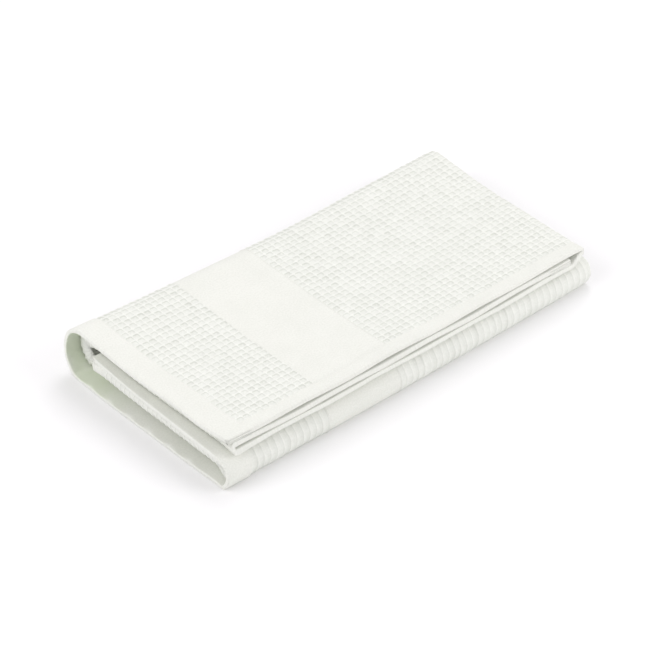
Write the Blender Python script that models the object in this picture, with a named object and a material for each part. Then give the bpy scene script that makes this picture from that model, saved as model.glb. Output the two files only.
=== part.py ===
"""A waffle-weave bath towel, folded in thirds twice and lying flat.

The towel is one piece of cloth, 1.30 m by 0.70 m. It is folded in thirds across its length, which gives a
strip of three layers. That strip is folded in thirds along its length, which gives a pack of nine layers.
The flat cloth is built as a closed slab, and each of its points is then carried to its folded place.

Axes: +X runs along the pack, from its open hems to its closed fold. +Y runs from the front, where the
selvedges lie over the rounded front fold, to the back fold. +Z is up, and the pack lies on z = 0.
On the flat cloth, s runs along the length from the outer hem, and t across the width from the selvedge that
ends up on top. All sizes are in metres.
"""

import math

import bmesh
import bpy
import numpy as np

# The flat cloth and its zones along s, which are the same from both ends: hem, waffle, plain band, waffle.
CLOTH_LENGTH = 1.300
CLOTH_WIDTH = 0.700
HEM_WIDTH = 0.028
BAND_START = 0.118
BAND_END = 0.206
ZONE_STEP = 0.003

# Thicknesses of the three kinds of cloth. The band lies a little below the ridges of the waffle.
WAFFLE_THICKNESS = 0.0028
HEM_THICKNESS = 0.0038
BAND_THICKNESS = 0.0018
BAND_RECESS = 0.0005

# The layers. One layer takes up LAYER_PITCH of height, with the air above it, and the folded strip three.
LAYER_PITCH = 0.0057
STRIP_PITCH = 3 * LAYER_PITCH

# The first fold. The inner fold starts a little inside the outer hem, and the tucked hem stops short of the
# closed end, where the cloth is pressed flatter, towards the outer layer.
INNER_FOLD_X = 0.008
TUCKED_HEM_GAP = 0.044
NOSE_RADIUS = 0.0025
NOSE_RISE = 0.0029

# The second fold, from the selvedge on top to the back of the back fold, and how far the front fold reaches
# out below that selvedge. The top run's selvedges step out towards the front, the lower the further.
PACK_WIDTH = 0.2240
FRONT_FOLD_REACH = 0.0092
SELVEDGE_STEP = 0.0024

# How far the outer hem, the inner fold beside it and the closed end have slipped along X, at stations round
# the second fold, because the cloth isn't folded quite square. The slip fades out along the pack.
END_SLIP = (
    # station, hem, inner fold, closed end
    ("selvedge on top", 0.005, 0.001, 0.000),
    ("back edge of the top", 0.000, 0.002, 0.000),
    ("back edge of the base", -0.004, 0.002, 0.003),
    ("middle of the base", -0.005, 0.001, 0.006),
    ("front edge of the base", -0.003, 0.001, 0.006),
    ("front edge of the middle", -0.002, 0.000, 0.006),
    ("tucked selvedge", -0.002, 0.000, 0.004),
)
SLIP_LENGTH = 0.120

# How the pack settles: the height of its open and closed ends as a share of the even one, the dip along its
# middle, the bow of its front edge, the puffed corner of the back fold at the open end, and low ripples.
OPEN_END_HEIGHT = 1.07
CLOSED_END_HEIGHT = 0.95
MIDDLE_DIP = 0.0022
FRONT_BOW = 0.0022
BACK_PUFF = 0.005
BACK_PUFF_LENGTH = 0.290
BACK_LIFT = 0.005
RIPPLE_HEIGHT = 0.0007
GAP_CHANGE = 0.0006

# Spacing of the slab's grid lines on the runs, and their number round each turn.
RUN_STEP = 0.030
NOSE_STEPS = 8
INNER_FOLD_STEPS = 6
BACK_FOLD_STEPS = 12
FRONT_FOLD_STEPS = 10


def ease(start, end, value):
    """0 before start, 1 after end, and a smooth rise between them."""
    share = np.clip((value - start) / (end - start), 0.0, 1.0)
    return share * share * (3.0 - 2.0 * share)


def fold_marks(places, arcs):
    """Distances along a strip at which its three runs and the two turns between them begin and end."""
    runs = np.abs(np.diff(places))
    return np.cumsum((0.0, runs[0], arcs[0], runs[1], arcs[1], runs[2]))


def letter_fold(distance, places, marks, pitch, nose_radius, nose_rise, nose_start):
    """Where a point of a strip folded in thirds lies: along the fold, its height, and its heading.

    places are the first edge, the centres of the two turns and the last edge. The first run lies one pitch up,
    the second one pitch down, and the third is tucked between them at height 0.
    """
    base = np.interp(distance, marks, np.repeat(places, (1, 2, 2, 1)))
    heading = np.interp(distance, marks[1:5], (0.0, math.pi, math.pi, 2.0 * math.pi))
    pressed = ease(nose_start, places[1], base)
    tucked = distance > marks[3]
    radius = np.where(tucked, pitch / 2, pitch + (nose_radius - pitch) * pressed)
    centre = np.where(tucked, -pitch / 2, nose_rise * pressed)
    return base + radius * np.sin(heading), centre + radius * np.cos(heading), heading


# The first fold: its turns' arcs are those of the middle of the cloth.
FIRST_ARCS = (math.pi * NOSE_RADIUS, math.pi * LAYER_PITCH / 2)
INNER_TURN_X = INNER_FOLD_X + LAYER_PITCH / 2
NOSE_DEPTH = NOSE_RADIUS + WAFFLE_THICKNESS / 2
PACK_LENGTH = (CLOTH_LENGTH - sum(FIRST_ARCS) + 2 * NOSE_DEPTH + 2 * INNER_TURN_X + TUCKED_HEM_GAP) / 3
TUCKED_HEM_X = PACK_LENGTH - TUCKED_HEM_GAP
FIRST_PLACES = np.array((0.0, PACK_LENGTH - NOSE_DEPTH, INNER_TURN_X, TUCKED_HEM_X))
FIRST_MARKS = fold_marks(FIRST_PLACES, FIRST_ARCS)

# The second fold: its turns' arcs are those of the strip's outer layer.
BACK_RADIUS = STRIP_PITCH + LAYER_PITCH
FRONT_RADIUS = STRIP_PITCH / 2 + LAYER_PITCH
SECOND_ARCS = (math.pi * BACK_RADIUS, math.pi * FRONT_RADIUS)
BACK_TURN_Y = PACK_WIDTH - BACK_RADIUS - WAFFLE_THICKNESS / 2
FRONT_TURN_Y = FRONT_RADIUS + WAFFLE_THICKNESS / 2 - FRONT_FOLD_REACH
TUCKED_RUN = CLOTH_WIDTH - sum(SECOND_ARCS) - 2 * BACK_TURN_Y + FRONT_TURN_Y
SECOND_PLACES = np.array((0.0, BACK_TURN_Y, FRONT_TURN_Y, FRONT_TURN_Y + TUCKED_RUN))
SECOND_MARKS = fold_marks(SECOND_PLACES, SECOND_ARCS)

# The height of the second fold's middle run, with the outer layer of its lowest run on the floor.
MIDDLE_HEIGHT = STRIP_PITCH + LAYER_PITCH + WAFFLE_THICKNESS / 2
PACK_HEIGHT = 2 * MIDDLE_HEIGHT


def first_fold(s):
    """Place along X, height in the strip, and heading, for a distance s from the outer hem."""
    return letter_fold(
        s, FIRST_PLACES, FIRST_MARKS, LAYER_PITCH, NOSE_RADIUS, NOSE_RISE, TUCKED_HEM_X
    )


def second_fold(t):
    """Place along Y, height from the middle run, and heading, for a distance t from the top selvedge."""
    return letter_fold(t, SECOND_PLACES, SECOND_MARKS, STRIP_PITCH, STRIP_PITCH, 0.0, 0.0)


def end_slip(x, layer, t):
    """The slip along X of a point whose strip layer is 1 outside, 0 in the middle and -1 inside."""
    middle_of_base = (SECOND_MARKS[2] + SECOND_MARKS[3]) / 2
    stops = np.insert(SECOND_MARKS, 3, middle_of_base)
    columns = zip(*(row[1:] for row in END_SLIP))
    hem, inner_fold, closed_end = (np.interp(t, stops, column) for column in columns)
    open_end = inner_fold + (hem - inner_fold) * ease(0.3, 0.9, layer)
    near_open_end = 1.0 - ease(0.0, SLIP_LENGTH, x)
    near_closed_end = ease(PACK_LENGTH - SLIP_LENGTH, PACK_LENGTH, x)
    return open_end * near_open_end + closed_end * near_closed_end


def settle(x, y, z):
    """The even pack's points moved to where the soft cloth comes to lie. The base stays flat."""
    along = x / PACK_LENGTH
    across = y / PACK_WIDTH
    up = z / PACK_HEIGHT
    open_end = 1.0 - ease(0.0, BACK_PUFF_LENGTH, x)
    bow = 4.0 * along * (1.0 - along)
    ripple = np.sin(23.0 * x + 9.0 * y) * np.sin(31.0 * y - 11.0 * x + 0.8)
    gap = np.sin(2.0 * math.pi * 3.0 * up + 4.0 * along + 5.0 * across)
    height = OPEN_END_HEIGHT + (CLOSED_END_HEIGHT - OPEN_END_HEIGHT) * along
    dip = MIDDLE_DIP * np.sin(math.pi * np.clip(across, 0.0, 1.0))
    rise = BACK_LIFT * ease(0.5, 1.0, across) * (1.0 - bow)
    lift = up * (RIPPLE_HEIGHT * ripple - dip + rise) + up * (1.0 - up) * 4.0 * GAP_CHANGE * gap
    shift = BACK_PUFF * open_end * ease(0.0, 1.0, across) - FRONT_BOW * bow * (1.0 - across)
    return x, y + shift, z * height + lift


def fold(s, t, out):
    """The folded place of the flat cloth's point (s, t), moved out of the cloth's middle by out."""
    x, height, turn = first_fold(s)
    x = x + out * np.sin(turn)
    height = height + out * np.cos(turn)
    x = x + end_slip(x, height / LAYER_PITCH, t)
    y, rise, turn = second_fold(t)
    step = SELVEDGE_STEP * (1.0 - height / LAYER_PITCH) * (1.0 - ease(0.0, BACK_TURN_Y, t))
    y = y + height * np.sin(turn) - step
    z = MIDDLE_HEIGHT + rise + height * np.cos(turn)
    return settle(x, y, z)


def faces_of_cloth(s):
    """How far the cloth's outer and inner faces lie from its middle at s."""
    end = np.minimum(s, CLOTH_LENGTH - s)
    hem = 1.0 - ease(HEM_WIDTH, HEM_WIDTH + ZONE_STEP, end)
    band = ease(BAND_START - ZONE_STEP, BAND_START, end) - ease(BAND_END, BAND_END + ZONE_STEP, end)
    outer = WAFFLE_THICKNESS / 2 - BAND_RECESS * band
    thickness = (
        WAFFLE_THICKNESS
        + (HEM_THICKNESS - WAFFLE_THICKNESS) * hem
        + (BAND_THICKNESS - WAFFLE_THICKNESS) * band
    )
    return outer, outer - thickness


def grid_lines(marks, turn_steps, zones):
    """Distances at which the slab has a line: evenly on each run and each turn, and at the zones' edges."""
    stops = sorted({*marks, *zones})
    lines = []
    for start, end in zip(stops, stops[1:]):
        steps = max(1, round((end - start) / RUN_STEP))
        for turn, count in zip((marks[1], marks[3]), turn_steps):
            if start == turn:
                steps = count
        lines.extend(np.linspace(start, end, steps, endpoint=False))
    return np.array((*lines, stops[-1]))


def zone_edges():
    """Distances along s at which a hem or a band begins or ends, from both ends of the cloth."""
    near = (
        HEM_WIDTH,
        HEM_WIDTH + ZONE_STEP,
        BAND_START - ZONE_STEP,
        BAND_START,
        BAND_END,
        BAND_END + ZONE_STEP,
    )
    return (*near, *(CLOTH_LENGTH - edge for edge in near))


def cotton():
    """Near-white waffle cotton."""
    material = bpy.data.materials.new("white_waffle_cotton")
    material.use_nodes = True
    shader = material.node_tree.nodes["Principled BSDF"]
    shader.inputs["Base Color"].default_value = (0.89, 0.90, 0.86, 1.0)
    shader.inputs["Roughness"].default_value = 0.92
    shader.inputs["Metallic"].default_value = 0.0
    shader.inputs["Sheen Weight"].default_value = 0.25
    return material


def towel():
    """The folded towel as one closed body: an outer face, an inner face, and the cloth's four edges."""
    along = grid_lines(FIRST_MARKS, (NOSE_STEPS, INNER_FOLD_STEPS), zone_edges())
    across = grid_lines(SECOND_MARKS, (BACK_FOLD_STEPS, FRONT_FOLD_STEPS), ())
    s, t = np.meshgrid(along, across, indexing="ij")
    mesh = bmesh.new()
    faces = []
    for out in faces_of_cloth(s):
        points = np.stack(fold(s, t, out), axis=-1)
        faces.append([[mesh.verts.new(point) for point in row] for row in points])
    outer, inner = faces
    rows, columns = len(along) - 1, len(across) - 1
    for i in range(rows):
        for j in range(columns):
            mesh.faces.new((outer[i][j], outer[i + 1][j], outer[i + 1][j + 1], outer[i][j + 1]))
            mesh.faces.new((inner[i][j], inner[i][j + 1], inner[i + 1][j + 1], inner[i + 1][j]))
        mesh.faces.new((inner[i][0], inner[i + 1][0], outer[i + 1][0], outer[i][0]))
        mesh.faces.new((outer[i][-1], outer[i + 1][-1], inner[i + 1][-1], inner[i][-1]))
    for j in range(columns):
        mesh.faces.new((outer[0][j], outer[0][j + 1], inner[0][j + 1], inner[0][j]))
        mesh.faces.new((inner[-1][j], inner[-1][j + 1], outer[-1][j + 1], outer[-1][j]))
    centre_on_base(mesh)
    data = bpy.data.meshes.new("towel")
    mesh.to_mesh(data)
    mesh.free()
    data.shade_smooth()
    data.set_sharp_from_angle(angle=math.radians(50.0))
    data.materials.append(cotton())
    thing = bpy.data.objects.new("towel", data)
    bpy.context.collection.objects.link(thing)
    return thing


def centre_on_base(mesh):
    """Moves the pack so that the middle of its outline lies over the origin."""
    places = np.array([vert.co for vert in mesh.verts])
    middle = (places.min(axis=0) + places.max(axis=0)) / 2
    bmesh.ops.translate(mesh, verts=mesh.verts, vec=(-middle[0], -middle[1], 0.0))


for old in list(bpy.data.objects):
    bpy.data.objects.remove(old, do_unlink=True)
towel()
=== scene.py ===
"""A white waffle-weave cotton bath towel, folded in thirds twice and lying flat.

+X runs along the pack, from its open hems to its closed fold. +Y runs from the front, where the selvedges
lie over the rounded front fold, to the back fold. +Z is up. All sizes are in metres.
"""

import math
from bisect import bisect_left, bisect_right

import bpy
import numpy as np
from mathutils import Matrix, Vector


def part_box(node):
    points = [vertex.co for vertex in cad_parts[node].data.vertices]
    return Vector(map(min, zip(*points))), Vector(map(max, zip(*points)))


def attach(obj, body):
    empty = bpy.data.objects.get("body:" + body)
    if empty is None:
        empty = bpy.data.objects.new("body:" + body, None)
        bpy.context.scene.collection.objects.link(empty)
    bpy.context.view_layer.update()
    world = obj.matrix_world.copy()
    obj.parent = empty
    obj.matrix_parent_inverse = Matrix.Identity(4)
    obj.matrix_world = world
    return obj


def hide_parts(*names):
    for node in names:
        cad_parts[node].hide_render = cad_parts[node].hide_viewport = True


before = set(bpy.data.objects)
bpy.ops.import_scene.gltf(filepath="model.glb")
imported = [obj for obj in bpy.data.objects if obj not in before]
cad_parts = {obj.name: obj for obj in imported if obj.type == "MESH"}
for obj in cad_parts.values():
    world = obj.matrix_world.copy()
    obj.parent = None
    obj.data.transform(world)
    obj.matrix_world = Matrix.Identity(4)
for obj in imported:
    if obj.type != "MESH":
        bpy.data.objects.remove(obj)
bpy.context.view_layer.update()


# ---- The cloth -------------------------------------------------------------------------------------------
# One length of white cotton, 1.30 m by 0.70 m, woven as waffle with a plain band near each end and a plain
# strip along each selvedge. Both ends are turned over twice into hems. It is folded in thirds across its
# length, and the strip that this makes is folded in thirds again.

# The flat cloth. s runs along it from the hem on top of the pack, t across it from the selvedge on top.
CLOTH_LENGTH = 1.300
CLOTH_WIDTH = 0.700
HEM_WIDTH = 0.028
BAND_START = 0.118
BAND_END = 0.206
SELVEDGE_WIDTH = 0.013
WAFFLE_THICKNESS = 0.0028
END_CELLS = 12
MIDDLE_CELLS = 116
CROSS_CELLS = 98
END_PITCH = (BAND_START - HEM_WIDTH) / END_CELLS
MIDDLE_PITCH = (CLOTH_LENGTH - 2 * BAND_END) / MIDDLE_CELLS
CROSS_PITCH = (CLOTH_WIDTH - 2 * SELVEDGE_WIDTH) / CROSS_CELLS

# The pack. Its layers lie a pitch apart, three to a strip. A nose is the round edge of a fold: the first
# fold's is pressed narrow at the closed end, and the tucked hem stops short of it. Inside the pack, the
# tucked run's end is drawn back by its shortening.
LAYER_PITCH = 0.0057
STRIP_PITCH = 3 * LAYER_PITCH
INNER_FOLD_X = 0.008
TUCKED_HEM_GAP = 0.044
NOSE_RADIUS = 0.0025
NOSE_RISE = 0.0029
PACK_WIDTH = 0.2240
FRONT_FOLD_REACH = 0.0092
TUCKED_SHORTENING = 0.011


def ease(start, end, value):
    """0 before start, 1 after end, and a smooth rise between them."""
    share = np.clip((value - start) / (end - start), 0.0, 1.0)
    return share * share * (3.0 - 2.0 * share)


def fold_marks(places, arcs):
    """Distances along a strip at which its three runs and the two turns between them begin and end."""
    runs = np.abs(np.diff(places))
    return np.cumsum((0.0, runs[0], arcs[0], runs[1], arcs[1], runs[2]))


def letter_fold(distance, places, marks, pitch, nose_radius, nose_rise, nose_start):
    """Where a point of a strip folded in thirds lies: along the fold, its height, and its heading."""
    base = np.interp(distance, marks, np.repeat(places, (1, 2, 2, 1)))
    heading = np.interp(distance, marks[1:5], (0.0, math.pi, math.pi, 2.0 * math.pi))
    pressed = ease(nose_start, places[1], base)
    tucked = distance > marks[3]
    radius = np.where(tucked, pitch / 2, pitch + (nose_radius - pitch) * pressed)
    centre = np.where(tucked, -pitch / 2, nose_rise * pressed)
    return base + radius * np.sin(heading), centre + radius * np.cos(heading), heading


# The first fold, in thirds along s. Its length is what the cloth leaves after the turns and the hem's gap.
FIRST_ARCS = (math.pi * NOSE_RADIUS, math.pi * LAYER_PITCH / 2)
INNER_TURN_X = INNER_FOLD_X + LAYER_PITCH / 2
NOSE_DEPTH = NOSE_RADIUS + WAFFLE_THICKNESS / 2
PACK_LENGTH = (CLOTH_LENGTH - sum(FIRST_ARCS) + 2 * NOSE_DEPTH + 2 * INNER_TURN_X + TUCKED_HEM_GAP) / 3
TUCKED_HEM_X = PACK_LENGTH - TUCKED_HEM_GAP
FIRST_PLACES = np.array((0.0, PACK_LENGTH - NOSE_DEPTH, INNER_TURN_X, TUCKED_HEM_X))
FIRST_MARKS = fold_marks(FIRST_PLACES, FIRST_ARCS)

# The second fold, in thirds along t: the top, the back fold, the base, the front fold and the tucked run.
BACK_RADIUS = STRIP_PITCH + LAYER_PITCH
FRONT_RADIUS = STRIP_PITCH / 2 + LAYER_PITCH
SECOND_ARCS = (math.pi * BACK_RADIUS, math.pi * FRONT_RADIUS)
BACK_TURN_Y = PACK_WIDTH - BACK_RADIUS - WAFFLE_THICKNESS / 2
FRONT_TURN_Y = FRONT_RADIUS + WAFFLE_THICKNESS / 2 - FRONT_FOLD_REACH
TUCKED_RUN = CLOTH_WIDTH - sum(SECOND_ARCS) - 2 * BACK_TURN_Y + FRONT_TURN_Y
SECOND_PLACES = np.array((0.0, BACK_TURN_Y, FRONT_TURN_Y, FRONT_TURN_Y + TUCKED_RUN))
SECOND_MARKS = fold_marks(SECOND_PLACES, SECOND_ARCS)
SECOND_PLACES[3] -= TUCKED_SHORTENING

MIDDLE_HEIGHT = STRIP_PITCH + LAYER_PITCH + WAFFLE_THICKNESS / 2
PACK_HEIGHT = 2 * MIDDLE_HEIGHT

# How far the ends of the strip have slipped along X, at stations across the cloth. From the inner layers to
# the outer one, the hem's slip takes over from the inner fold's. The top's hem droops out in one place.
END_SLIP = (
    # station, hem, inner fold, closed end
    ("selvedge on top", 0.005, 0.001, 0.000),
    ("back edge of the top", 0.000, 0.002, 0.000),
    ("back edge of the base", -0.004, 0.006, 0.003),
    ("back part of the base", -0.005, 0.010, 0.005),
    ("front part of the base", -0.004, 0.010, 0.006),
    ("front edge of the base", -0.003, -0.004, 0.006),
    ("front edge of the middle", -0.0035, -0.007, 0.006),
    ("tucked selvedge", 0.0015, -0.005, 0.004),
)
BASE_PART = 0.040
SLIP_LENGTH = 0.120
OUTER_LAYER = (0.3, 0.6)
TOP_HEM_DROOP = 0.0027
DROOP_PLACE = 0.035
DROOP_WIDTH = 0.025


def end_slip(x, layer, t):
    """The slip along X of a point whose strip layer is 1 outside, 0 in the middle and -1 inside."""
    stops = np.insert(SECOND_MARKS, 3, (SECOND_MARKS[2] + BASE_PART, SECOND_MARKS[3] - BASE_PART))
    columns = zip(*(row[1:] for row in END_SLIP))
    hem, inner_fold, closed_end = (np.interp(t, stops, column) for column in columns)
    on_top = t < SECOND_MARKS[1]
    hem = hem - TOP_HEM_DROOP * np.exp(-(((t - DROOP_PLACE) / DROOP_WIDTH) ** 2)) * on_top
    open_end = inner_fold + (hem - inner_fold) * ease(*OUTER_LAYER, layer)
    near_open_end = 1.0 - ease(0.0, SLIP_LENGTH, x)
    near_closed_end = ease(PACK_LENGTH - SLIP_LENGTH, PACK_LENGTH, x)
    return open_end * near_open_end + closed_end * near_closed_end


# The soft nose of the inner fold, and the stretch of t round the back fold in which it swells most.
NOSE_SWELL = 0.0009
NOSE_SWELL_LENGTH = 0.040
BACK_NOSE_SWELL = 0.0075
BACK_NOSE_LENGTH = 0.060
BACK_NOSE_GAIN = 0.5
BACK_NOSE_START = SECOND_MARKS[1] + np.array((-0.018, 0.014))
BACK_NOSE_STOP = SECOND_MARKS[2] + np.array((-0.020, 0.020))


def nose_swell(x, layer, t):
    """How far the inner fold swells at the open end: a little everywhere, and inwards in the back fold."""
    swell = NOSE_SWELL * (1.0 - ease(0.0, NOSE_SWELL_LENGTH, x)) * (1.0 - ease(*OUTER_LAYER, layer))
    in_back = ease(*BACK_NOSE_START, t)
    in_back = in_back * (1.0 - ease(*BACK_NOSE_STOP, t))
    inwards = BACK_NOSE_SWELL * in_back * (1.0 - ease(0.0, BACK_NOSE_LENGTH, x)) * np.clip(-layer, 0.0, 1.0)
    return swell * (2.0 * layer + 1.0) * (1.0 + BACK_NOSE_GAIN * in_back) - inwards


# How the pack lies: higher at its open end than at its closed one, a little hollow along the middle, bowed
# out at the front, and puffed and lifted at the back. RIPPLES are in radians for each metre of X and of Y,
# with a start. GAP_WAVES are in radians over the pack's height, length and width.
OPEN_END_HEIGHT = 1.07
CLOSED_END_HEIGHT = 0.95
MIDDLE_DIP = 0.0022
FRONT_BOW = 0.0022
BACK_PUFF = 0.005
BACK_PUFF_LENGTH = 0.290
BACK_LIFT = 0.005
RIPPLE_HEIGHT = 0.0007
RIPPLES = ((23.0, 9.0, 0.0), (-11.0, 31.0, 0.8))
GAP_CHANGE = 0.0006
GAP_WAVES = (2.0 * math.pi * 3.0, 4.0, 5.0)


def settle(x, y, z):
    """The even pack's points moved to where the soft cloth comes to lie. The base stays flat."""
    along = x / PACK_LENGTH
    across = y / PACK_WIDTH
    up = z / PACK_HEIGHT
    open_end = 1.0 - ease(0.0, BACK_PUFF_LENGTH, x)
    bow = 4.0 * along * (1.0 - along)
    ripple = 1.0
    for by_x, by_y, start in RIPPLES:
        ripple = ripple * np.sin(by_x * x + by_y * y + start)
    gap = np.sin(GAP_WAVES[0] * up + GAP_WAVES[1] * along + GAP_WAVES[2] * across)
    height = OPEN_END_HEIGHT + (CLOSED_END_HEIGHT - OPEN_END_HEIGHT) * along
    dip = MIDDLE_DIP * np.sin(math.pi * np.clip(across, 0.0, 1.0))
    rise = BACK_LIFT * ease(0.5, 1.0, across) * (1.0 - bow)
    lift = up * (RIPPLE_HEIGHT * ripple - dip + rise) + up * (1.0 - up) * 4.0 * GAP_CHANGE * gap
    shift = BACK_PUFF * open_end * ease(0.0, 1.0, across) - FRONT_BOW * bow * (1.0 - across)
    return x, y + shift, z * height + lift


# The stepped selvedges with their waves, the tucked hem, which reaches further near the top's selvedge, and
# the folds' lower corners, which sag to the floor. The sag's turns are in radians from straight down.
SELVEDGE_STEP = 0.0024
TUCKED_STEP = 0.0005
EDGE_WAVE = 0.0005
EDGE_WAVE_LENGTH = 0.110
EDGE_WAVE_WIDTH = 0.030
EDGE_WAVE_STAGGER = 2.5
TUCKED_HEM_REACH = 0.024
TUCKED_HEM_FADE = (0.02, 0.10)
FOLD_SAG = 0.0024
SAG_PEAK = 0.5
SAG_STOP = 1.5


def fold(s, t, out):
    """The folded place of the flat cloth's point (s, t), moved out of the cloth's middle by out."""
    reach = TUCKED_HEM_REACH * (1.0 - ease(*TUCKED_HEM_FADE, t))
    x, height, turn = letter_fold(
        s, FIRST_PLACES, FIRST_MARKS, LAYER_PITCH, NOSE_RADIUS, NOSE_RISE, TUCKED_HEM_X + reach
    )
    x = x + reach * ease(FIRST_MARKS[4], CLOTH_LENGTH, s)
    x = x + out * np.sin(turn)
    height = height + out * np.cos(turn)
    layer = height / LAYER_PITCH
    x = x + end_slip(x, layer, t)
    height = height + nose_swell(x, layer, t)
    waves = np.sin(2.0 * math.pi * x / EDGE_WAVE_LENGTH + EDGE_WAVE_STAGGER * np.round(layer))
    height = height + EDGE_WAVE * (1.0 - ease(0.0, EDGE_WAVE_WIDTH, t)) * waves
    y, rise, turn = letter_fold(t, SECOND_PLACES, SECOND_MARKS, STRIP_PITCH, STRIP_PITCH, 0.0, 0.0)
    step = SELVEDGE_STEP * (1.0 - height / LAYER_PITCH) * (1.0 - ease(0.0, BACK_TURN_Y, t))
    tucked_step = TUCKED_STEP * (1.0 - height / LAYER_PITCH) * ease(SECOND_MARKS[4], CLOTH_WIDTH, t)
    y = y + height * np.sin(turn) - step + tucked_step
    from_down = np.abs(turn - math.pi)
    sag = FOLD_SAG * ease(0.0, SAG_PEAK, from_down) * (1.0 - ease(SAG_PEAK, SAG_STOP, from_down))
    z = MIDDLE_HEIGHT + rise + height * np.cos(turn) - sag
    return settle(x, y, z)


# A waffle cell is a square recess between ridges, and these are an even cell's measures. Its mouth, floor
# and reaches are counted from 0 in the middle of the cell to 1 at its ridges.
RECESS_DEPTH = 0.0010
RECESS_TILT = 0.35
RECESS_MOUTH = 0.90
RECESS_FLOOR = 0.72
RECESS_ROUNDING = 4.0
FLOOR_RISE = 0.0003
RIDGE_SAG = 0.0002
SAG_REACH = 0.8
RIDGE_DIP = 0.0005
DIP_REACH = (0.4, 0.9)

# Round the front fold the cells are stretched until only their cross ridges show, as ribs.
RIB_CELLS = (64, 72)
RIB_DEPTH = 0.85
RIB_PROFILE = (0.70, 0.95)

# Each waffle cell is a little different: how deep it is, how far its corners stray from an even grid, and
# how far each of its ridges dips between two corners. The tables have a row for each cell along the cloth
# and a column for each cell across it, and some to spare.
CELL_STRAY = 0.00045
CELL_JOG = 0.00015
DEPTH_SPREAD = 0.28
CELL_TABLE = (MIDDLE_CELLS + 30, CROSS_CELLS + 2)
loom = np.random.default_rng(11)
cell_depths = 1.0 + DEPTH_SPREAD * loom.uniform(-1.0, 1.0, CELL_TABLE)
corner_strays = CELL_STRAY * loom.uniform(-1.0, 1.0, (2, *CELL_TABLE))
ridge_dips = RIDGE_DIP * loom.uniform(0.0, 1.0, (2, *CELL_TABLE))

# Net steps are whole numbers, ten million to a metre. A place within one step of a line lies on it, and a
# count of cells is nudged past a line, so that the line belongs to the cell that it starts.
NET_STEPS = 10**7
NEARLY = 1.0 / NET_STEPS
CELL_NUDGE = 1e-6


def cell_place(s, t):
    """Counts of waffle cells along and across the cloth, as decimal numbers, and where there is waffle."""
    end = np.minimum(s, CLOTH_LENGTH - s)
    side = np.minimum(t, CLOTH_WIDTH - t)
    along = np.where(
        end < (BAND_START + BAND_END) / 2,
        (end - HEM_WIDTH) / END_PITCH,
        END_CELLS + 1 + (s - BAND_END) / MIDDLE_PITCH,
    )
    across = (t - SELVEDGE_WIDTH) / CROSS_PITCH
    waffle = (end > HEM_WIDTH + NEARLY) & (side > SELVEDGE_WIDTH + NEARLY)
    waffle &= (end < BAND_START - NEARLY) | (end > BAND_END + NEARLY)
    return along, across, waffle


def in_ribs(across):
    """Whether a count of cells across the cloth lies among the ribs."""
    return (across > RIB_CELLS[0]) & (across < RIB_CELLS[1] - CELL_NUDGE)


def weave_relief(s, t):
    """How far the outer face lies below the waffle's ridges, and how far its threads stray in s and t."""
    along, across, waffle = cell_place(s, t)
    i = np.clip(np.floor(along + CELL_NUDGE).astype(int), 0, CELL_TABLE[0] - 2)
    j = np.clip(np.floor(across + CELL_NUDGE).astype(int), 0, CELL_TABLE[1] - 2)
    u = np.clip(along - i, 0.0, 1.0)
    v = np.clip(across - j, 0.0, 1.0)
    ribbed = in_ribs(across)
    depth = np.where(ribbed, RIB_DEPTH * cell_depths[i, RIB_CELLS[0]], cell_depths[i, j])
    to_cross_ridge = np.abs(2.0 * u - 1.0)
    to_long_ridge = np.abs(2.0 * v - 1.0) * ~ribbed
    reach = (to_cross_ridge**RECESS_ROUNDING + to_long_ridge**RECESS_ROUNDING) ** (1.0 / RECESS_ROUNDING)
    recess = 1.0 - np.where(ribbed, ease(*RIB_PROFILE, reach), ease(RECESS_FLOOR, RECESS_MOUTH, reach))
    depth = depth * (1.0 + RECESS_TILT * (2.0 * v - 1.0) * ~ribbed)
    rise = FLOOR_RISE * (1.0 - ease(0.0, RECESS_FLOOR, reach))
    sag = RIDGE_SAG * (2.0 - ease(0.0, SAG_REACH, to_cross_ridge) - ease(0.0, SAG_REACH, to_long_ridge))
    cross_dip = ridge_dips[0, i + (u > 0.5), j] * (1.0 - ease(*DIP_REACH, to_long_ridge))
    long_dip = ridge_dips[1, i, j + (v > 0.5)] * (1.0 - ease(*DIP_REACH, to_cross_ridge))
    dip = (cross_dip + long_dip) * (1.0 - recess)
    below = waffle * (RECESS_DEPTH * depth * recess - rise + sag + dip)
    strays = []
    for table in corner_strays:
        near = table[i, j] * (1 - u) + table[i + 1, j] * u
        far = table[i, j + 1] * (1 - u) + table[i + 1, j + 1] * u
        strays.append((near * (1 - v) + far * v) * waffle)
    jog = CELL_JOG * np.sin(math.pi * along) * waffle
    return below, strays[0], strays[1] + jog


# The plain zones. Hems stand proud of the waffle. Bands and selvedges lie below it. A selvedge is rolled
# towards its edge, a hem is thicker at its two ends, and in the base the hem's inner face waves.
HEM_THICKNESS = 0.0040
BAND_THICKNESS = 0.0016
SELVEDGE_THICKNESS = 0.0030
HEM_PROUD = 0.0005
BAND_RECESS = 0.0006
SELVEDGE_RECESS = 0.0003
ROLL_WIDTH = 0.005
ROLL_PROUD = 0.0007
ROLL_THICKNESS = 0.0010
HEM_FLARE = 0.0012
HEM_FLARE_WIDTH = 0.012
HEM_WAVE = 0.0008
HEM_WAVE_LENGTH = 0.028
ZONE_EDGE = 0.0006


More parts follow.
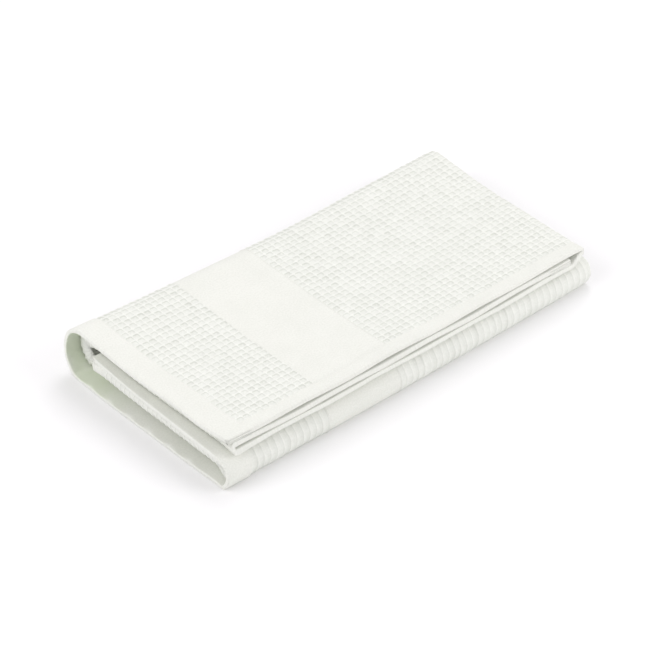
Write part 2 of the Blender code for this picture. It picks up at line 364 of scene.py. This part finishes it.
def cloth_faces(s, t):
    """How far the outer and inner faces lie from the cloth's middle without relief, and where it is hem."""
    end = np.minimum(s, CLOTH_LENGTH - s)
    side = np.minimum(t, CLOTH_WIDTH - t)
    hem = 1.0 - ease(HEM_WIDTH - ZONE_EDGE, HEM_WIDTH, end)
    band = ease(BAND_START, BAND_START + ZONE_EDGE, end) - ease(BAND_END - ZONE_EDGE, BAND_END, end)
    selvedge = (1.0 - ease(SELVEDGE_WIDTH - ZONE_EDGE, SELVEDGE_WIDTH, side)) * (1.0 - hem)
    band = band * (1.0 - selvedge)
    flare = HEM_FLARE * hem * (1.0 - ease(0.0, HEM_FLARE_WIDTH, side))
    roll = selvedge * (1.0 - ease(ROLL_WIDTH, SELVEDGE_WIDTH - ZONE_EDGE, side))
    outer = WAFFLE_THICKNESS / 2 + HEM_PROUD * hem - BAND_RECESS * band
    outer = outer - SELVEDGE_RECESS * selvedge + ROLL_PROUD * roll
    thickness = (
        WAFFLE_THICKNESS
        + (HEM_THICKNESS - WAFFLE_THICKNESS) * hem
        + (BAND_THICKNESS - WAFFLE_THICKNESS) * band
        + (SELVEDGE_THICKNESS - WAFFLE_THICKNESS) * selvedge
        + ROLL_THICKNESS * roll
        + flare
    )
    near_hem = 1.0 - ease(HEM_WIDTH, 2.0 * HEM_WIDTH, s)
    in_base = ease(SECOND_MARKS[1], SECOND_MARKS[2], t)
    in_base = in_base * (1.0 - ease(SECOND_MARKS[3] - BASE_PART, SECOND_MARKS[3], t))
    wave = HEM_WAVE * near_hem * in_base * np.sin(2.0 * math.pi * t / HEM_WAVE_LENGTH)
    return outer, outer - thickness - wave, hem


# The cloth's edges are rounded. A turned hem is open at the selvedges, where two slits part its three
# layers. Levels run through the thickness, from the inner face to the outer one.
EDGE_SQUARENESS = 4.0
EDGE_ROUNDING = 0.7
HEM_EDGE_SHARE = 0.15
SLIT_DEPTH = 0.0040
SLIT_LEVELS = (0.33, 0.67)
ROUND_LEVELS = (0.0, 0.02, 0.08, 0.25, 0.5, 0.75, 0.92, 0.98, 1.0)
EDGE_LEVELS = (0.0, 0.02, 0.08, 0.17, 0.25, 0.33, 0.41, 0.50, 0.59, 0.67, 0.75, 0.83, 0.92, 0.98, 1.0)


def drawn_in(place, width, depth):
    """Places across a width of cloth. Those on either edge are drawn in from it by depth."""
    return place + np.where(place < NEARLY, depth, 0.0) - np.where(place > width - NEARLY, depth, 0.0)


def cloth_point(s, t, level):
    """The folded place of a point of the cloth. level is 0 on the inner face and 1 on the outer one."""
    outer, inner, hem = cloth_faces(s, t)
    below, stray_s, stray_t = weave_relief(s, t)
    outer = outer - below * level
    out = inner + (outer - inner) * level
    half = (outer - inner) / 2
    to_face = np.abs(2.0 * level - 1.0) ** EDGE_SQUARENESS
    rounding = EDGE_ROUNDING * (1.0 - np.clip(1.0 - to_face, 0.0, 1.0) ** (1.0 / EDGE_SQUARENESS))
    slit = np.isin(np.round(level, 4), SLIT_LEVELS) * hem
    side_rounding = np.where(hem > 0.5, HEM_EDGE_SHARE * rounding, rounding)
    s = drawn_in(s, CLOTH_LENGTH, half * rounding) + stray_s
    t = drawn_in(t, CLOTH_WIDTH, side_rounding * half + SLIT_DEPTH * slit) + stray_t
    return np.stack(fold(s, t, out), axis=-1)


# Samples across one cell. The net of the cloth is fine where the waffle shows, and coarse in the pack.
FINE = (0.0, 0.065, 0.16, 0.50, 0.84, 0.935)
MEDIUM = (0.0, 0.16, 0.50, 0.84)
THIRDS = (0.0, 1 / 3, 2 / 3)
COARSE = (0.0, 0.5)
RIDGES = (0.0,)
BAND_STEPS = 7
HEM_LINES = (0.0, 0.004, 0.010, 0.016, 0.022, 0.0260, HEM_WIDTH - ZONE_EDGE, HEM_WIDTH)
SELVEDGE_LINES = (
    0.0,
    0.003,
    0.0075,
    SELVEDGE_WIDTH - 2 * ZONE_EDGE,
    SELVEDGE_WIDTH - ZONE_EDGE,
    SELVEDGE_WIDTH,
)
FAR_SELVEDGE = [CLOTH_WIDTH - line for line in SELVEDGE_LINES[::-1]]

# Cells at which the net changes. Counted across the cloth, they lie round the back and front folds. Counted
# along its middle part, they lie round the nose at the closed end and the inner fold's nose.
BACK_TURN = 26
BACK_START = 29
BACK_END = 38
FRONT_START = 65
FRONT_END = 74
NOSE_CELL = 30
NOSE_TOP = 33
FACE_END = 36
INNER_NOSE = (88, 93)

# The three ways in the cloth, in the order of a corner's numbers.
ALONG, ACROSS, THROUGH = range(3)


def cell_lines(start, pitch, first, last, samples, every=1):
    """Lines of a run of cells, at the samples of each cell, or of one cell in every few."""
    lines = [start + (cell + sample) * pitch for cell in range(first, last, every) for sample in samples]
    return [*lines, start + last * pitch]


def middle_lines(first, last, samples, every=1):
    """Lines across the middle part of the cloth, between its two bands."""
    return cell_lines(BAND_END, MIDDLE_PITCH, first, last, samples, every)


def cross_lines(first, last, samples, every=1):
    """Lines along the cloth, between its two selvedges."""
    return cell_lines(SELVEDGE_WIDTH, CROSS_PITCH, first, last, samples, every)


def whole(values):
    """Values as whole net steps, in order and without doubles."""
    return sorted({round(value * NET_STEPS) for value in values})


def cloth_net():
    """The patches of the cloth's closed skin: (fixed way, its value, two sets of lines, facing)."""
    end_waffle = (HEM_WIDTH, END_PITCH, 0, END_CELLS)
    band = [BAND_START, BAND_START + ZONE_EDGE, BAND_START + 2 * ZONE_EDGE,
            *np.linspace(BAND_START, BAND_END, BAND_STEPS + 1)[1:-1],
            BAND_END - 2 * ZONE_EDGE, BAND_END - ZONE_EDGE, BAND_END]
    hidden_end = [*HEM_LINES, *cell_lines(*end_waffle, RIDGES, 3), *band]
    to_nose_hidden = sorted({*hidden_end, *middle_lines(0, NOSE_CELL, RIDGES, 3)})
    fine_nose = [*middle_lines(NOSE_CELL, NOSE_TOP, FINE), *middle_lines(NOSE_TOP, FACE_END, COARSE)]
    nose = middle_lines(NOSE_CELL, FACE_END, COARSE)
    inner_nose = middle_lines(*INNER_NOSE, MEDIUM)
    before_nose = middle_lines(FACE_END, INNER_NOSE[0], RIDGES, 4)
    after_nose = [*middle_lines(INNER_NOSE[1], MIDDLE_CELLS, RIDGES, 4),
                  *(CLOTH_LENGTH - line for line in hidden_end)]
    top = [*SELVEDGE_LINES, *cross_lines(0, BACK_START, FINE), *cross_lines(BACK_START, BACK_END, MEDIUM)]
    base = cross_lines(BACK_END, FRONT_START, COARSE)
    front = [*cross_lines(FRONT_START, RIB_CELLS[1], THIRDS), *cross_lines(RIB_CELLS[1], FRONT_END, FINE)]
    tucked = [*cross_lines(FRONT_END, CROSS_CELLS, RIDGES, 2), *FAR_SELVEDGE]
    turns = [*cross_lines(BACK_TURN, BACK_END, COARSE), *cross_lines(FRONT_START, FRONT_END, COARSE)]
    all_plain = sorted({*SELVEDGE_LINES, *cross_lines(0, CROSS_CELLS, RIDGES), *turns, *FAR_SELVEDGE})
    all_hidden = sorted({*SELVEDGE_LINES, *cross_lines(0, CROSS_CELLS, RIDGES, 3), *turns, *FAR_SELVEDGE})
    all_coarse = [*SELVEDGE_LINES, *cross_lines(0, CROSS_CELLS, COARSE), *FAR_SELVEDGE]
    all_s = [*to_nose_hidden, *nose, *before_nose, *inner_nose, *after_nose]
    outer = [
        (HEM_LINES, all_plain),
        (cell_lines(*end_waffle, FINE), top),
        (cell_lines(*end_waffle, FINE), front),
        (cell_lines(*end_waffle, COARSE), base),
        (cell_lines(*end_waffle, RIDGES, 3), tucked),
        (band, all_plain),
        (middle_lines(0, NOSE_CELL, FINE), top),
        (middle_lines(0, NOSE_CELL, FINE), front),
        (middle_lines(0, NOSE_CELL, COARSE), base),
        (middle_lines(0, NOSE_CELL, RIDGES, 3), tucked),
        (fine_nose, top),
        (fine_nose, base),
        (fine_nose, front),
        (nose, [*cross_lines(FRONT_END, CROSS_CELLS, COARSE), *FAR_SELVEDGE]),
        (before_nose, all_hidden),
        (inner_nose, all_coarse),
        (after_nose, all_hidden),
    ]
    inner_s = [line for line in all_s if line >= HEM_WIDTH]
    far_end = round(CLOTH_LENGTH * NET_STEPS)
    far_side = round(CLOTH_WIDTH * NET_STEPS)
    return [
        *((THROUGH, NET_STEPS, whole(s), whole(t), True) for s, t in outer),
        (THROUGH, 0, whole(HEM_LINES), whole(all_plain), False),
        (THROUGH, 0, whole(inner_s), whole(all_hidden), False),
        (ALONG, 0, whole(all_plain), whole(ROUND_LEVELS), False),
        (ALONG, far_end, whole(all_hidden), whole(ROUND_LEVELS), True),
        (ACROSS, 0, whole(all_s), whole(EDGE_LEVELS), True),
        (ACROSS, far_side, whole(all_s), whole(EDGE_LEVELS), False),
    ]


def cloth_skin(net):
    """Corners and faces of the net. A face takes in its neighbours' corners that lie on its edges."""
    corners = {}
    runs = {}

    def corner(way, fixed, a, b):
        """The corner at a and b of a patch that lies at a fixed place of one way."""
        point = [a, b]
        point.insert(way, fixed)
        return tuple(point)

    for fixed_way, fixed, lines_a, lines_b, _ in net:
        for a in lines_a:
            for b in lines_b:
                point = corner(fixed_way, fixed, a, b)
                if point in corners:
                    continue
                corners[point] = len(corners)
                for way in range(3):
                    rest = point[:way] + point[way + 1:]
                    runs.setdefault((way, rest), []).append(point[way])
    for run in runs.values():
        run.sort()

    def edge(start, end):
        """Corners from start up to but not including end, which differ in one way."""
        way = next(way for way in range(3) if start[way] != end[way])
        rest = start[:way] + start[way + 1:]
        run = runs[way, rest]
        low, high = sorted((start[way], end[way]))
        between = run[bisect_right(run, low):bisect_left(run, high)]
        if start[way] > end[way]:
            between = between[::-1]
        return [corners[start], *(corners[(*start[:way], value, *start[way + 1:])] for value in between)]

    faces = []
    for fixed_way, fixed, lines_a, lines_b, ahead in net:
        for a0, a1 in zip(lines_a, lines_a[1:]):
            for b0, b1 in zip(lines_b, lines_b[1:]):
                loop = [corner(fixed_way, fixed, a, b) for a, b in ((a0, b0), (a1, b0), (a1, b1), (a0, b1))]
                if not ahead:
                    loop.reverse()
                edges = zip(loop, loop[1:] + loop[:1])
                faces.append([index for start, end in edges for index in edge(start, end)])
    return np.array(list(corners)) / NET_STEPS, faces


# The cotton's finish. Spacings and heights are of the yarns, the fuzz on them, the thick places in a yarn,
# called slubs, and broad clouds of tone.
YARN_SPACING = 0.0007
YARN_HEIGHT = 0.00018
FUZZ_SPACING = 0.0009
FUZZ_SHARE = 1.6
CLOUD_SPACING = 0.030
SLUB_SPACING = 0.0017
SLUB_HEIGHT = 0.00060
SLUB_SHARE = 0.72
BRIGHT_COTTON = (0.842, 0.852, 0.806)
SHADED_COTTON = (0.790, 0.803, 0.753)
SHADE_RANGE = (0.40, 0.60)
PLAIN_TINT = (0.943, 0.942, 0.931)
# Painted shade for the cloth's inner face, darker and greener, broken into patches by the clouds of tone.
INNER_FACE_SHADE = (0.665, 0.715, 0.585)
INNER_SHADE_PATCHES = 3.0

# Painted shade in the crease round the foot of a recess, and more thinly over its floor. Its weights say on
# which sides of a cell the painted shade is heavier.
CREASE_SHADE_COTTON = (0.640, 0.660, 0.600)
CREASE_WIDTH = 0.14
CREASE_FALL = 0.7
CREASE_SHADE_SIDES = (0.25, 0.75, 0.0)
CREASE_LEAST = 0.15
CREASE_SPREAD = 0.5
RECESS_FLOOR_SHADE = 0.40

# The sockets of a Mix node that mixes colours, and a wave texture's own count of radians to a unit.
COLOUR_A = 6
COLOUR_B = 7
MIXED_COLOUR = 2
WAVE_RADIANS = 20.0


def add_node(tree, kind, inputs, **settings):
    """A new shader node. An input is a number, or another node's output that is linked to it."""
    node = tree.nodes.new("ShaderNode" + kind)
    for name, value in settings.items():
        setattr(node, name, value)
    for name, value in inputs.items():
        if isinstance(value, bpy.types.NodeSocket):
            tree.links.new(value, node.inputs[name])
        else:
            node.inputs[name].default_value = value
    return node


def reckon(tree, operation, *values, clamp=False):
    """The result of one sum on values or on other nodes' outputs."""
    inputs = dict(enumerate(values))
    return add_node(tree, "Math", inputs, operation=operation, use_clamp=clamp).outputs["Value"]


def mixed(tree, share, first, second, blend="MIX"):
    """Two colours mixed by a share, which is all first at 0."""
    inputs = {"Factor": share, COLOUR_A: first, COLOUR_B: second}
    return add_node(tree, "Mix", inputs, data_type="RGBA", blend_type=blend).outputs[MIXED_COLOUR]


def painted_crease_shade(tree):
    """How much painted shade a point takes in the crease round the foot of its recess, from the cell
    counts.
    """
    cells = add_node(tree, "UVMap", {}, uv_map="waffle_cells").outputs["UV"]
    in_cell = add_node(tree, "VectorMath", {0: cells}, operation="FRACTION").outputs["Vector"]
    doubled = {0: in_cell, 1: (2.0, 2.0, 0.0), 2: (-1.0, -1.0, 0.0)}
    from_middle = add_node(tree, "VectorMath", doubled, operation="MULTIPLY_ADD").outputs["Vector"]
    apart = add_node(tree, "SeparateXYZ", {"Vector": from_middle}).outputs
    powers = [reckon(tree, "POWER", reckon(tree, "ABSOLUTE", apart[way]), RECESS_ROUNDING) for way in "XY"]
    reach = reckon(tree, "POWER", reckon(tree, "ADD", *powers), 1.0 / RECESS_ROUNDING)

    crease = add_node(tree, "ValToRGB", {"Fac": reach})
    foot = (RECESS_FLOOR + RECESS_MOUTH) / 2
    ramp = crease.color_ramp
    ramp.interpolation = "EASE"
    ramp.elements[0].position = foot - 2.0 * CREASE_WIDTH
    ramp.elements[0].color = (RECESS_FLOOR_SHADE, RECESS_FLOOR_SHADE, RECESS_FLOOR_SHADE, 1.0)
    ramp.elements[1].position = foot
    ramp.elements[1].color = (1.0, 1.0, 1.0, 1.0)
    ridge = ramp.elements.new(foot + CREASE_WIDTH * CREASE_FALL)
    ridge.color = (0.0, 0.0, 0.0, 1.0)
    woven = add_node(tree, "Attribute", {}, attribute_name="waffle").outputs["Fac"]
    tone = reckon(tree, "MULTIPLY", crease.outputs["Color"], woven)

    # The painted shade is heavier towards the far sides of each cell.
    side = add_node(tree, "VectorMath", {0: in_cell, 1: CREASE_SHADE_SIDES}, operation="DOT_PRODUCT")
    far_side_shade = reckon(tree, "ADD", side.outputs["Value"], CREASE_LEAST)
    number = add_node(tree, "VectorMath", {0: cells}, operation="FLOOR").outputs["Vector"]
    chance = add_node(tree, "TexWhiteNoise", {"Vector": number}, noise_dimensions="2D").outputs["Value"]
    uneven = reckon(tree, "MULTIPLY_ADD", chance, CREASE_SPREAD, 1.0 - CREASE_SPREAD / 2)
    return reckon(tree, "MULTIPLY", reckon(tree, "MULTIPLY", far_side_shade, uneven), tone, clamp=True)


def waffle_cotton():
    """Matt white cotton: yarns each way, fuzz and slubs, painted shade in the recess creases and rib
    grooves, and patchy painted shade on the inner face.
    """
    material = bpy.data.materials.new("white_waffle_cotton")
    material.use_nodes = True
    tree = material.node_tree
    shader = tree.nodes["Principled BSDF"]
    shader.inputs["Roughness"].default_value = 0.92
    shader.inputs["Specular IOR Level"].default_value = 0.25
    shader.inputs["Sheen Weight"].default_value = 0.12
    shader.inputs["Sheen Roughness"].default_value = 0.5

    mapped = add_node(tree, "UVMap", {}, uv_map="flat_cloth").outputs["UV"]
    to_metres = {"Vector": mapped, "Scale": (CLOTH_LENGTH, CLOTH_LENGTH, CLOTH_LENGTH)}
    place = add_node(tree, "Mapping", to_metres).outputs["Vector"]
    yarn = {
        "Vector": place,
        "Scale": 2.0 * math.pi / (WAVE_RADIANS * YARN_SPACING),
        "Distortion": 1.2,
        "Detail": 1.0,
        "Detail Scale": 1.5,
    }
    yarns = [add_node(tree, "TexWave", yarn, wave_type="BANDS", bands_direction=way) for way in "XY"]
    noises = []
    for spacing, detail, roughness in (
        (FUZZ_SPACING, 3.0, 0.6),
        (CLOUD_SPACING, 4.0, 0.5),
        (SLUB_SPACING, 2.0, 0.5),
    ):
        noise = {"Vector": place, "Scale": 1.0 / spacing, "Detail": detail, "Roughness": roughness}
        noises.append(add_node(tree, "TexNoise", noise).outputs["Fac"])
    fuzz, cloud, slub = noises

    crossing = reckon(tree, "MAXIMUM", yarns[0].outputs["Fac"], yarns[1].outputs["Fac"])
    height = reckon(tree, "MULTIPLY_ADD", fuzz, FUZZ_SHARE, crossing)
    lumpy = reckon(tree, "MULTIPLY_ADD", slub, SLUB_HEIGHT / YARN_HEIGHT, height)
    bump = add_node(tree, "Bump", {"Strength": 0.55, "Distance": YARN_HEIGHT, "Height": lumpy})
    tree.links.new(bump.outputs["Normal"], shader.inputs["Normal"])

    uneven = add_node(tree, "Mix", {"Factor": SLUB_SHARE, "A": cloud, "B": slub}).outputs["Result"]
    shade = add_node(tree, "ValToRGB", {"Fac": uneven})
    for element, position, cotton in zip(
        shade.color_ramp.elements, SHADE_RANGE, (SHADED_COTTON, BRIGHT_COTTON)
    ):
        element.position = position
        element.color = (*cotton, 1.0)
    plain = add_node(tree, "Attribute", {}, attribute_name="plain").outputs["Fac"]
    tinted = mixed(tree, plain, shade.outputs["Color"], (*PLAIN_TINT, 1.0), blend="MULTIPLY")
    # Painted shade in the creases round the recesses.
    crease_shaded = mixed(tree, painted_crease_shade(tree), tinted, (*CREASE_SHADE_COTTON, 1.0))
    # Patchy painted shade on the inner face, most of all in the back fold.
    inner_shade = add_node(tree, "Attribute", {}, attribute_name="inner_shade").outputs["Fac"]
    patches = reckon(tree, "MULTIPLY_ADD", cloud, INNER_SHADE_PATCHES, 1.0 - INNER_SHADE_PATCHES / 2.0)
    patchy_inner_shade = reckon(tree, "MULTIPLY", patches, inner_shade, clamp=True)
    tree.links.new(mixed(tree, patchy_inner_shade, crease_shaded, (*INNER_FACE_SHADE, 1.0)), shader.inputs["Base Color"])
    return material


# How much painted shade a rib's groove takes, from its middle to the crest, and where painted shade darkens
# the cloth's inner face: inside the back fold, from a little before it to well past it, and faintly
# elsewhere.
RIB_GROOVE_SHADE = ((0.0, 0.68, 0.87, 1.0), (1.5, 0.9, 0.1, 0.0))
INNER_SHADE_LEVEL = 0.25
INNER_SHADE_LEAST = 0.05
INNER_SHADE_BEFORE = 0.03
INNER_SHADE_PAST = 0.08


def mark_weave(data, flat, faces):
    """The cloth's flat places and cell counts as UV maps, and its zones and painted shade as attributes."""
    s, t, level = flat.T
    loops = np.empty(len(data.loops), dtype=np.int32)
    data.loops.foreach_get("vertex_index", loops)
    places = data.uv_layers.new(name="flat_cloth")
    places.data.foreach_set("uv", (flat[loops, :2] / CLOTH_LENGTH).ravel())
    along, across, waffle = cell_place(s, t)
    sizes = np.array([len(face) for face in faces])
    starts = np.concatenate([[0], np.cumsum(sizes)[:-1]])
    face_across = np.repeat(np.add.reduceat(across[loops], starts) / sizes, sizes)
    across_in_face = np.where(in_ribs(face_across), RIB_CELLS[0] + 0.5, across[loops])
    cells = data.uv_layers.new(name="waffle_cells")
    cells.data.foreach_set("uv", np.stack([along[loops], across_in_face], axis=-1).ravel())
    # Painted shade in the rib grooves. It goes into the waffle attribute, which weights the painted crease
    # shade.
    to_rib = np.abs(2.0 * np.mod(along + CELL_NUDGE, 1.0) - 1.0)
    rib_groove_shade = np.where(in_ribs(across), np.interp(to_rib, *RIB_GROOVE_SHADE), 1.0)
    # Painted shade on the inner face: strongest inside the back fold, faint elsewhere.
    in_back = ease(SECOND_MARKS[1] - INNER_SHADE_BEFORE, SECOND_MARKS[1], t)
    in_back = in_back * (1.0 - ease(SECOND_MARKS[2], SECOND_MARKS[2] + INNER_SHADE_PAST, t))
    inner_shade_share = (1.0 - ease(0.0, INNER_SHADE_LEVEL, level)) * (INNER_SHADE_LEAST + (1.0 - INNER_SHADE_LEAST) * in_back)
    # The waffle attribute is the waffle zone on the outer face, times the painted shade of the rib grooves.
    zones = {"waffle": waffle * level * rib_groove_shade, "inner_shade": inner_shade_share, "plain": 1.0 - waffle}
    for name, values in zones.items():
        attribute = data.attributes.new(name, "FLOAT", "POINT")
        attribute.data.foreach_set("value", values)


def lay_cloth():
    """The folded cloth, in the place of its solid."""
    flat, faces = cloth_skin(cloth_net())
    points = cloth_point(*flat.T)
    points[:, 2] = np.maximum(points[:, 2], 0.0)
    low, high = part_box("towel")
    middle = (points.min(axis=0) + points.max(axis=0)) / 2
    points[:, 0] += (low.x + high.x) / 2 - middle[0]
    points[:, 1] += (low.y + high.y) / 2 - middle[1]
    data = bpy.data.meshes.new("waffle_cloth")
    data.from_pydata(points.tolist(), [], faces)
    data.update()
    mark_weave(data, flat, faces)
    data.shade_smooth()
    data.materials.append(waffle_cotton())
    cloth = bpy.data.objects.new("waffle_cloth", data)
    bpy.context.collection.objects.link(cloth)
    return cloth


cloth = lay_cloth()
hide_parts("towel")
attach(cloth, "root")


# ---- The floor, lights and camera ------------------------------------------------------------------------
# A plain white floor under the towel, three broad soft lights, and even white light all round. The lights
# stand high behind the towel to the right, in front of it to the right, and to its left. The camera stands
# well back in front of it, to the left, and looks down at it.

FLOOR_SIZE = 12.0
FLOOR_DROP = 0.0003
FLOOR_WHITE = (0.868, 0.868, 0.870, 1.0)
LIGHT_WHITE = (1.0, 0.985, 1.0)
LIGHT_SIZE = 1.6

half = FLOOR_SIZE / 2
floor_corners = ((-half, -half), (half, -half), (half, half), (-half, half))
floor_data = bpy.data.meshes.new("floor")
floor_data.from_pydata([(x, y, -FLOOR_DROP) for x, y in floor_corners], [], [(0, 1, 2, 3)])
floor = bpy.data.objects.new("floor", floor_data)
bpy.context.collection.objects.link(floor)
floor_paint = bpy.data.materials.new("white_floor")
floor_paint.use_nodes = True
paint = floor_paint.node_tree.nodes["Principled BSDF"]
paint.inputs["Base Color"].default_value = FLOOR_WHITE
paint.inputs["Roughness"].default_value = 0.8
paint.inputs["Specular IOR Level"].default_value = 0.0
paint.inputs["Emission Color"].default_value = (1.0, 1.0, 1.0, 1.0)
paint.inputs["Emission Strength"].default_value = 0.01
floor_data.materials.append(floor_paint)

world = bpy.data.worlds.new("studio")
bpy.context.scene.world = world
world.use_nodes = True
background = world.node_tree.nodes["Background"]
background.inputs["Color"].default_value = (*LIGHT_WHITE, 1.0)
background.inputs["Strength"].default_value = 0.755

for name, place, watts in (
    ("key", (1.3, 1.0, 2.0), 15.0),
    ("front_fill", (1.1, -1.7, 1.1), 17.5),
    ("left_fill", (-1.6, 0.4, 1.3), 14.5),
):
    light = bpy.data.lights.new(name, "AREA")
    light.shape = "DISK"
    light.size = LIGHT_SIZE
    light.energy = watts
    light.color = LIGHT_WHITE
    lamp = bpy.data.objects.new(name, light)
    bpy.context.collection.objects.link(lamp)
    lamp.location = place
    lamp.rotation_euler = (-lamp.location).to_track_quat("-Z", "Y").to_euler()

AZIMUTH = math.radians(-41.573)
ELEVATION = math.radians(38.390)
DISTANCE = 3.2946
TARGET = Vector((-0.02554, -0.02886, 0.02463))
lens = bpy.data.cameras.new("camera")
lens.lens = 190.0
lens.sensor_width = 36.0
camera = bpy.data.objects.new("camera", lens)
bpy.context.collection.objects.link(camera)
backward = Vector((
    math.sin(AZIMUTH) * math.cos(ELEVATION),
    -math.cos(AZIMUTH) * math.cos(ELEVATION),
    math.sin(ELEVATION),
))
camera.location = TARGET + DISTANCE * backward
camera.rotation_euler = (-backward).to_track_quat("-Z", "Y").to_euler()
bpy.context.scene.camera = camera
bpy.context.scene.view_settings.view_transform = "Standard"
bpy.context.scene.cycles.max_bounces = 24
bpy.context.scene.cycles.diffuse_bounces = 24
